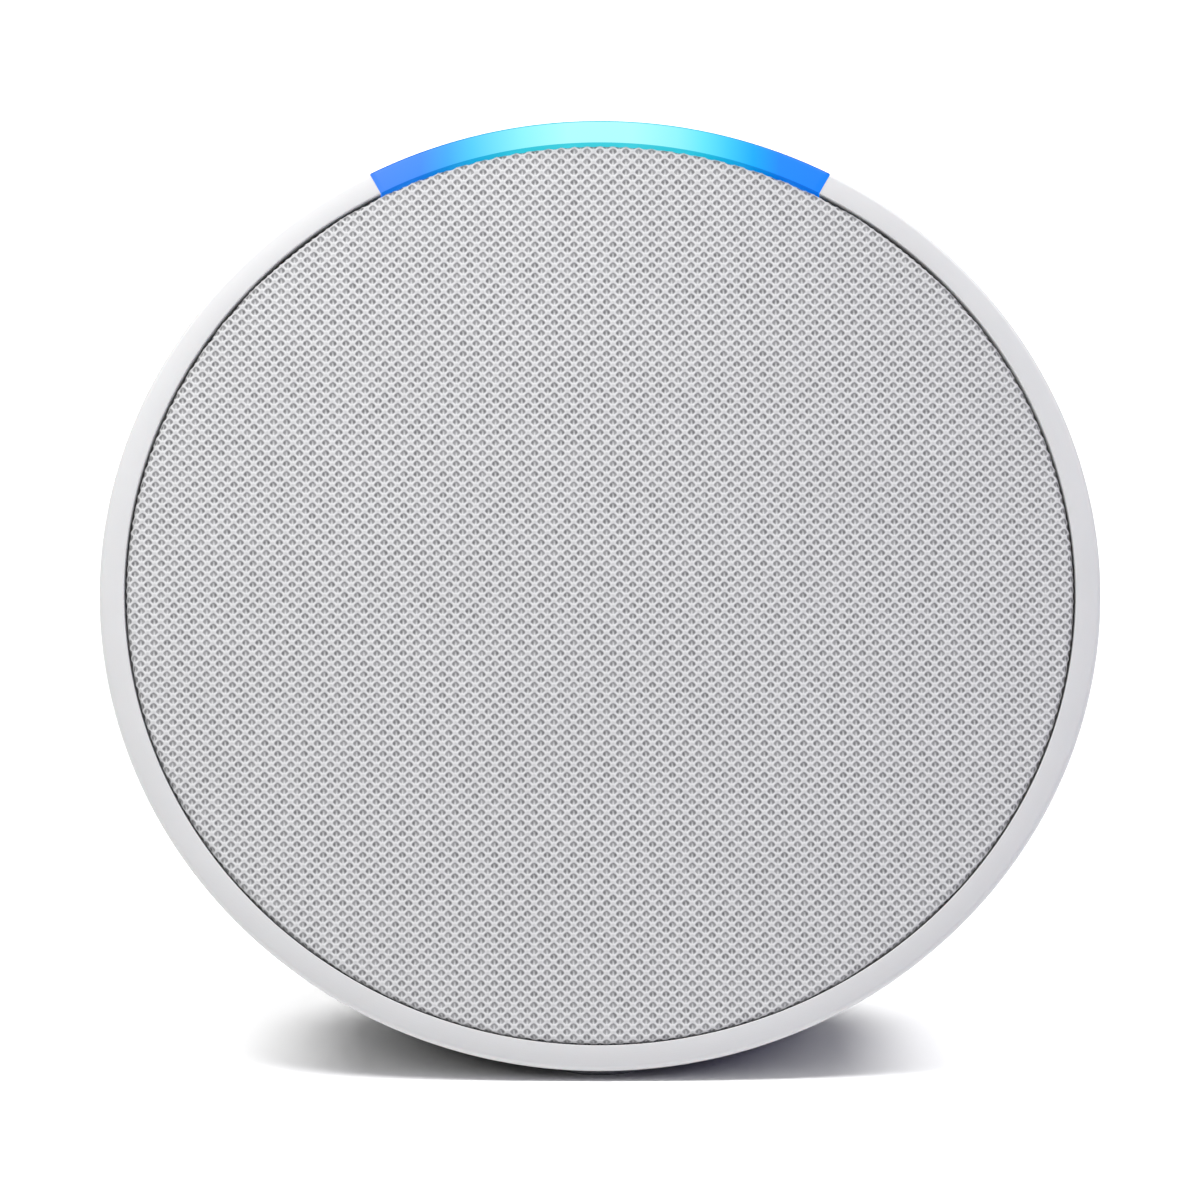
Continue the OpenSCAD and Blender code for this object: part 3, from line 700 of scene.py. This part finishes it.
def wrap_over_edge(r, z):
    """Bends distances r along the cloth over the rounded edge. z is how far it stands proud."""
    flat = CLOTH_R - CLOTH_EDGE_R
    turn = np.clip((r - flat) / CLOTH_EDGE_R, 0, math.pi / 2)
    down = np.clip(r - flat - CLOTH_EDGE_R * math.pi / 2, 0, None)
    reach = CLOTH_EDGE_R + z
    radius = np.minimum(r, flat) + reach * np.sin(turn)
    height = CLOTH_FRONT - CLOTH_EDGE_R + reach * np.cos(turn) - down
    return radius, height


def knit_grid():
    """Hole counts along both diagonals, with three points to a stitch, and their heights."""
    most = int(cloth_span() * (1 / HOLE_PITCH_X + 1 / HOLE_PITCH_Y)) + 2
    steps = np.array([-0.5, -0.26, 0.26])
    line = (np.arange(-most, most + 1)[:, None] + steps[None, :]).ravel()
    on_yarn = np.tile([True, False, False], 2 * most + 1)
    s, t = np.meshgrid(line, line, indexing="ij")
    yarn_s, yarn_t = np.meshgrid(on_yarn, on_yarn, indexing="ij")
    proud = np.where(yarn_s & yarn_t, 0.0, np.where(yarn_s | yarn_t, -YARN_DIP, -YARN_DEPTH))
    return s, t, proud


def knit_mesh():
    """The knitted cloth: yarn ridges along both diagonals, with a sunk hole in every stitch."""
    s, t, proud = knit_grid()
    x = HOLE_PITCH_X * (s + t) / 2
    y = HOLE_PITCH_Y * (s - t) / 2
    along = np.hypot(x, y)
    radius, height = wrap_over_edge(along, proud)
    scale = radius / np.maximum(along, 1e-9)
    world = (
        np.array(FACE_CENTRE)
        + (x * scale)[..., None] * np.array(RIGHT)
        + (y * scale)[..., None] * np.array(UP)
        + height[..., None] * np.array(NORMAL)
    )
    inside = along <= cloth_span()
    whole = inside[:-1, :-1] & inside[1:, :-1] & inside[1:, 1:] & inside[:-1, 1:]
    number = np.arange(s.size).reshape(s.shape)
    corners = [number[:-1, :-1], number[:-1, 1:], number[1:, 1:], number[1:, :-1]]
    faces = np.stack([corner[whole] for corner in corners], axis=1)
    used, faces = np.unique(faces, return_inverse=True)
    faces = faces.reshape(-1, 4)
    obj = mesh_object("knit_front", world.reshape(-1, 3)[used].tolist(), faces.tolist())
    weave = obj.data.attributes.new("weave", "FLOAT_VECTOR", "POINT")
    values = np.stack([s.ravel()[used], t.ravel()[used], np.zeros(len(used))], axis=1)
    weave.data.foreach_set("vector", values.ravel())
    return obj


# ---- The light bar ----

def sweep_over_top(name, section, half_angle):
    """A section of (radius, z) swept around the top of the ring, with closed ends."""
    rings = []
    for i in range(BAR_STEPS + 1):
        phi = math.radians(-half_angle + 2 * half_angle * i / BAR_STEPS)
        rings.append([on_face(r * math.sin(phi), r * math.cos(phi), z) for r, z in section])
    return loft(name, rings, closed_ends=True)


def bar_slot():
    """The cutter for the light bar's place in the ring."""
    outer = RING_R + 1 * MM
    inner = OPENING_R - 0.6 * MM
    high = 2 * MM
    section = [(outer, -BAR_DEPTH), (outer, high), (inner, high), (inner, -BAR_DEPTH)]
    return sweep_over_top("cutter", section, BAR_HALF_ANGLE)


def make_light_bar():
    """The milky bar, with shade painted on its inner side and its outer rounding as a darker, tinted copy of its
    glow.
    """
    section = [(RING_R + BAR_PROUD, -BAR_DEPTH)] + ring_front(BAR_PROUD) + [(OPENING_R, -BAR_DEPTH)]
    bar = sweep_over_top("light_diffuser", section, BAR_HALF_ANGLE - BAR_GAP_ANGLE)
    bar.data.materials.append(LIT_PLASTIC)
    bar.data.materials.append(SHADED_LIT_EDGE)
    # The faces that get the painted shade: the bar's inner side and its outer rounding
    inner = OPENING_R + RING_LIP_R * 0.35
    outer = RING_R - RING_EDGE_R * 0.30
    for face in bar.data.polygons:
        place = face.center - FACE_CENTRE
        radius = math.hypot(place.dot(RIGHT), place.dot(UP))
        on_rounding = place.dot(NORMAL) > -RING_EDGE_R - RING_FALL
        if radius < inner or (radius > outer and on_rounding):
            face.material_index = 1
    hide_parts("light_bar")
    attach(bar, "housing")


# ---- Small pieces ----

def button_piece(node, joint, mark):
    """A button cap: a shallow dish with a rounded edge, and a raised mark."""
    matrix = radial_matrix(button_axis(joint))
    root = DOME_R - BUTTON_ROOT
    top = DOME_R + BUTTON_CROWN
    corner = (BUTTON_CAP_R - BUTTON_EDGE_R, top - BUTTON_EDGE_R - BUTTON_SAG)
    profile = [(0, root), (BUTTON_CAP_R, root)] + arc(corner, BUTTON_EDGE_R, 0, 80, 8)
    dish_r, rim_z = profile[-1]
    steps = 12
    for k in range(1, steps):
        part = k / steps
        sunk = BUTTON_DISH * math.sin(part * math.pi / 2) ** 0.7
        profile.append((dish_r * (1 - part), rim_z - sunk))
    profile.append((0, rim_z - BUTTON_DISH))
    cap = lathe(node + "_cap", profile, matrix, 96)
    cap.data.materials.append(BUTTON_PLASTIC)
    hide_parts(node)
    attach(cap, node)
    # A mark's base lies just under the bottom of the dish
    mark_base = rim_z - BUTTON_DISH - 0.02 * MM
    for i, (width, length) in enumerate(mark):
        bar = rounded_bar(f"{node}_mark_{i}", width, length, matrix, mark_base)
        bar.data.materials.append(MARK_PLASTIC)
        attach(bar, node)


def rounded_bar(name, width, length, matrix, base):
    """A small raised bar with round ends and a rounded top, centred on local Z."""
    small = min(width, length) / 2
    run = max(width, length) / 2 - small
    along_x = width > length
    # The share that each ring stands in from the base's outline, and its height in mm
    levels = [(0, 0), (0, 0.10), (0.15, 0.16), (0.45, 0.18)]
    segments = 24
    rings = []
    for inset, height in levels:
        ring = []
        for i in range(segments):
            angle = 2 * math.pi * (i + 0.5) / segments
            x = small * (1 - inset) * math.cos(angle)
            y = small * (1 - inset) * math.sin(angle)
            if along_x:
                x += run * (1 if math.cos(angle) > 0 else -1)
            else:
                y += run * (1 if math.sin(angle) > 0 else -1)
            ring.append(matrix @ Vector((x, y, base + height * MM)))
        rings.append(ring)
    return loft(name, rings, closed_ends=True)


def make_shell():
    """The dome and its ring, cut for the foot, the buttons, the microphones, the bar and the inlet."""
    shell = shell_skin()
    flatten_inside(shell, foot_high.z + WALL)
    uncut = smooth_tree(shell)
    cut_flat_below(shell, foot_high.z)
    for button in MARKS:
        cut_countersunk(shell, BUTTON_HOLE_R, button_axis(f"{button}_press"), 3 * MM, 0.18 * MM)
    for axis in mic_axes():
        cut_countersunk(shell, MIC_HOLE_R, axis, 1 * MM, 0.12 * MM)
    cut(shell, bar_slot())
    cut(shell, inlet_recess_cutter())
    shade_like(shell, uncut)
    shell.name = "dome_housing"
    shell.data.materials.append(HOUSING_PLASTIC)
    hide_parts("rear_shell")
    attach(shell, "housing")


def make_fabric():
    """The knit, stretched over the grille's frame and turned down behind its edge."""
    cloth = knit_mesh()
    cloth.data.materials.append(KNIT_FABRIC)
    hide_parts("grille_fabric")
    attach(cloth, "housing")


def inlet_matrix():
    """Local Z runs out of the back along the inlet's axis, from the recess's floor."""
    turn = Matrix((Vector((1, 0, 0)), Vector((0, 0, -1)), Vector((0, 1, 0)))).transposed().to_4x4()
    return Matrix.Translation(Vector((0, INLET_FLOOR_Y, INLET_Z))) @ turn


def inlet_recess_cutter():
    """A round hole through the wall, where the recess's own cup sits."""
    past_dome = 20 * MM
    profile = [(0, 0), (INLET_R, 0), (INLET_R, past_dome), (0, past_dome)]
    return lathe("cutter", profile, inlet_matrix(), 72)


def inside_wall_y(x, z):
    """How far back the middle of the dome's wall lies, at a place across and a height."""
    squared = (DOME_R - WALL / 2) ** 2 - x ** 2 - (z - DOME_CENTRE.z) ** 2
    return DOME_CENTRE.y + math.sqrt(squared)


def make_inlet_cup():
    """The recess's cup: a wall that ends inside the dome's own, and a floor round the socket."""
    cup_r = INLET_R + 0.02 * MM
    outer_r = INLET_R + 1.4 * MM
    hole_r = INLET_R - 1.8 * MM
    floor_under = -1.2 * MM
    corner = 0.3 * MM
    half_corner = 0.09 * MM
    in_wall = None
    profile = [
        (cup_r, in_wall), (cup_r, corner), (cup_r - half_corner, half_corner), (cup_r - corner, 0),
        (hole_r, 0), (hole_r, floor_under), (outer_r, floor_under), (outer_r, in_wall),
    ]
    matrix = inlet_matrix()
    segments = 72
    rings = []
    for radius, height in profile:
        ring = []
        for i in range(segments):
            angle = 2 * math.pi * i / segments
            place = matrix @ Vector((radius * math.cos(angle), radius * math.sin(angle), height or 0))
            if height is in_wall:
                place.y = inside_wall_y(place.x, place.z)
            ring.append(place)
        rings.append(ring)
    cup = loft("inlet_recess", rings)
    shade_edges(cup)
    cup.data.materials.append(HOUSING_PLASTIC)
    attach(cup, "housing")


def make_foot():
    """The rubber pad, with a rounded edge and a shallow recess inside its rim."""
    pad_r = (foot_high.x - foot_low.x) / 2
    centre_y = foot_high.y - pad_r
    nose_r = 3.4 * MM
    nose_y = foot_low.y + nose_r
    lean = math.asin((pad_r - nose_r) / (centre_y - nose_y))
    # The outline is a round pad with a smaller round nose in front, as (turn, middle, radius)
    outline = []
    for steps, start, sweep, middle_y, radius in [
        (96, -lean, math.pi + 2 * lean, centre_y, pad_r),
        (32, math.pi + lean, math.pi - 2 * lean, nose_y, nose_r),
    ]:
        outline += [(start + sweep * i / steps, middle_y, radius) for i in range(steps + 1)]
    # How far in from the outline and how high each ring lies, in mm
    high = foot_high.z / MM
    levels = [
        (2.6, 0.2), (1.7, 0.2), (1.6, 0.1), (1.5, 0.0),
        (0.22, 0.0), (0.06, 0.12), (0.0, 0.30), (0.0, high),
    ]
    rings = []
    for inset, height in levels:
        ring = []
        for turn, middle_y, radius in outline:
            reach = radius - inset * MM
            ring.append(Vector((
                reach * math.cos(turn), middle_y + reach * math.sin(turn), height * MM
            )))
        rings.append(ring)
    foot = loft("foot_pad", rings, closed_ends=True)
    foot.data.materials.append(FOOT_RUBBER)
    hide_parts("foot")
    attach(foot, "housing")


# ---- The loudspeaker's flexing rings ----

def surround_profile(outer_r):
    """A half-roll between flat rims, as (radius, z), from the outer rim over the roll and back."""
    roll_r = outer_r - 4.3 * MM
    inner_r = outer_r - 7.4 * MM
    roll = 2.1 * MM
    skin = 0.4 * MM
    steps = 16
    over = arc((roll_r, 0), roll, 11, 169, steps)
    under = arc((roll_r, 0), roll - skin, 180, 0, steps)
    return [(outer_r, 0), (outer_r, skin)] + over + [(inner_r, skin), (inner_r, 0)] + under


def spider_profile(outer_r):
    """A corrugated disc, as (radius, z), from the outer rim over the waves and back."""
    inner_r = outer_r - 7.1 * MM
    skin = 0.3 * MM
    wave = 0.5 * MM
    waves = 4
    steps = 48
    line = []
    for i in range(steps + 1):
        part = i / steps
        height = wave * (0.5 - 0.5 * math.cos(2 * math.pi * waves * part))
        line.append((inner_r + (outer_r - inner_r) * part, height))
    return [(r, z + skin) for r, z in reversed(line)] + line


def flexing_ring(node, profile_of, material):
    """A ring in sectors, between the housing and the cone."""
    middle, radius, thick = disc(node)
    back = middle - NORMAL * thick / 2

    def place(r, z, phi):
        return back + RIGHT * (r * math.sin(phi)) + UP * (r * math.cos(phi)) + NORMAL * z

    sector = 2 * math.pi / FLEX_SECTORS
    for k in range(FLEX_SECTORS):
        rings = []
        for i in range(FLEX_STEPS + 1):
            phi = sector * (k + i / FLEX_STEPS)
            rings.append([place(r, z, phi) for r, z in profile_of(radius)])
        piece = loft(f"{node}_flexing_{k}", rings)
        piece.data.materials.append(material)
        if k == 0:
            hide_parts(node)
        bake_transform(piece)


# ---- The CAD nodes ----

def dress_cad_nodes():
    """Gives every CAD node the material of its slot, and returns the materials by slot."""
    looks = {
        "housing": HOUSING_PLASTIC,
        "button_plastic": BUTTON_PLASTIC,
        "knit_fabric": KNIT_FABRIC,
        "light_bar": LIT_PLASTIC,
        "foot_rubber": FOOT_RUBBER,
        "dark_plastic": grained("dark_plastic", (0.030, 0.030, 0.034), 0.55, depth=0.02 * MM),
        "white_plastic": grained("white_plastic", (0.78, 0.78, 0.76), 0.45),
        "led_body": grained(
            "led_body", (0.85, 0.90, 0.95), 0.25, Emission_Color=(0.2, 0.7, 1.0, 1), Emission_Strength=2.0
        ),
        "circuit_board": circuit_board(),
        "flexible_circuit": brushed("flexible_circuit", (0.62, 0.33, 0.10), 0.35),
        "zinc_steel": brushed("zinc_steel", (0.62, 0.63, 0.65)),
        "basket_steel": grained("basket_steel", (0.045, 0.045, 0.05), 0.5, metallic=0.4),
        "magnet": brushed("magnet", (0.70, 0.71, 0.74), 0.18),
        "copper_coil": brushed("copper_coil", (0.72, 0.34, 0.16), 0.3),
        "cone_paper": grained("cone_paper", (0.030, 0.030, 0.032), 0.85, grain=1800.0, depth=0.05 * MM),
        "surround_rubber": grained("surround_rubber", (0.018, 0.018, 0.020), 0.6),
        "spider_cloth": woven("spider_cloth", (0.52, 0.38, 0.16), 1600.0),
        "foam": foam("foam", (0.035, 0.035, 0.038)),
        "wire_jacket": grained("wire_jacket", (0.42, 0.025, 0.025), 0.4),
        "thermal_silicone": grained("thermal_silicone", (0.33, 0.47, 0.60), 0.8, depth=0.03 * MM),
        "aluminium": brushed("aluminium", (0.72, 0.73, 0.75), 0.35),
        "gold_plate": brushed("gold_plate", (0.80, 0.58, 0.24), 0.25),
        "jack_plastic": grained("jack_plastic", (0.022, 0.022, 0.025), 0.35),
    }
    for part in frame["record"]["subparts"]:
        obj = nodes[part["node"]]
        obj.data.materials.clear()
        obj.data.materials.append(looks[part["material_slot"]])
    return looks


# ---- The studio ----

VIEW_ELEVATION = 6.4
CAMERA_AWAY = 1.5
VIEW_WIDTH = 118.6 * MM
SENSOR = 36.0
AIM_BELOW_CENTRE = 1.05 * MM

FLOOR_R = 3.0
SKY_STRENGTH = 0.38
# Each flood's side, with its strength, and the angle over which its light is spread
FLOODS = {"left": (-1, 2.2), "right": (1, 2.75)}
FLOOD_ANGLE = 26
KEY_AWAY = 0.22
FILL_PLACE = Vector((0.26, -0.22, 0.08))
FILL_COLOUR = (0.32, 0.27, 1.0)


def make_camera():
    """A long lens in front of the object, just above the table."""
    lean = math.radians(VIEW_ELEVATION)
    back = Vector((0, -math.cos(lean), math.sin(lean)))
    up = Vector((0, math.sin(lean), math.cos(lean)))
    target = FACE_CENTRE - up * AIM_BELOW_CENTRE
    data = bpy.data.cameras.new("camera")
    data.sensor_width = SENSOR
    data.lens = SENSOR * CAMERA_AWAY / VIEW_WIDTH
    data.clip_start = 0.05
    camera = new_object("camera", data)
    camera.location = target + back * CAMERA_AWAY
    camera.rotation_euler = back.to_track_quat("Z", "Y").to_euler()
    bpy.context.scene.camera = camera


def make_floor():
    """A wide round sheet of white paper."""
    floor = lathe("floor", [(0, 0), (FLOOR_R, 0)], Matrix.Identity(4), 64)
    shader = Shader("floor_paper")
    tone = shader.noise(2.0, 2.0)
    shader.set(
        Base_Color=shader.ramp(tone, [(0.0, (0.93, 0.93, 0.93)), (1.0, (0.96, 0.96, 0.96))]),
        Roughness=0.9,
        Specular_IOR_Level=0.1,
    )
    floor.data.materials.append(shader.material)


def area_light(name, place, size, power, colour=(1, 1, 1)):
    """A round softbox that points at the middle of the front."""
    data = bpy.data.lights.new(name, "AREA")
    data.shape = "DISK"
    data.size = size
    data.energy = power
    data.color = colour
    light = new_object(name, data)
    light.location = place
    light.rotation_euler = (place - FACE_CENTRE).to_track_quat("Z", "Y").to_euler()


def make_lights():
    """A pale sky, a high flood on each side, a near softbox and a weak cool one at the right.

    Each flood whitens the floor on its own, so only what is hidden from both lies in shadow. The
    near softbox, above and to the left, gives the object's gradient.
    """
    world = bpy.data.worlds.new("studio")
    bpy.context.scene.world = world
    world.use_nodes = True
    sky = world.node_tree.nodes["Background"]
    sky.inputs["Color"].default_value = (1, 1, 1, 1)
    sky.inputs["Strength"].default_value = SKY_STRENGTH
    for name, (side, strength) in FLOODS.items():
        flood = bpy.data.lights.new(name, "SUN")
        flood.energy = strength
        flood.angle = math.radians(FLOOD_ANGLE)
        toward = Vector((0.48 * side, 0.14, 0.86))
        new_object(name, flood).rotation_euler = toward.to_track_quat("Z", "Y").to_euler()
    toward_key = (NORMAL * 0.62 + UP * 0.66 - RIGHT * 0.34).normalized()
    area_light("key", FACE_CENTRE + toward_key * KEY_AWAY, size=0.12, power=0.33)
    area_light("fill", FILL_PLACE, size=0.16, power=0.085, colour=FILL_COLOUR)


HOUSING_PLASTIC = housing_plastic()
BUTTON_PLASTIC = grained("button_plastic", (0.55, 0.55, 0.56), 0.45, grain=4200.0, tone=0.03)
MARK_PLASTIC = grained("mark_plastic", (0.36, 0.36, 0.38), 0.5, grain=4200.0, tone=0.03)
KNIT_FABRIC = knit_fabric()
LIT_PLASTIC = lit_plastic("lit_plastic", (1.0, 1.0, 1.0))
# A darker, tinted copy of the glow: painted shade on the light bar's inner side and outer rounding
SHADED_LIT_EDGE = lit_plastic("lit_edge_painted_shade", (0.12, 0.62, 0.72))
FOOT_RUBBER = grained("foot_rubber", (0.24, 0.24, 0.26), 0.8, depth=0.03 * MM)

make_camera()
make_floor()
make_lights()
looks = dress_cad_nodes()
for flexing, profile_of, slot, rim in [
    ("driver_surround", surround_profile, "surround_rubber", SURROUND_RIM),
    ("driver_spider", spider_profile, "spider_cloth", SPIDER_RIM),
]:
    flexing_ring(flexing, profile_of, looks[slot])
make_shell()
make_inlet_cup()
make_light_bar()
make_fabric()
make_foot()
for button, mark in MARKS.items():
    button_piece(f"{button}_button", f"{button}_press", mark)

bpy.context.scene.view_settings.view_transform = "Standard"
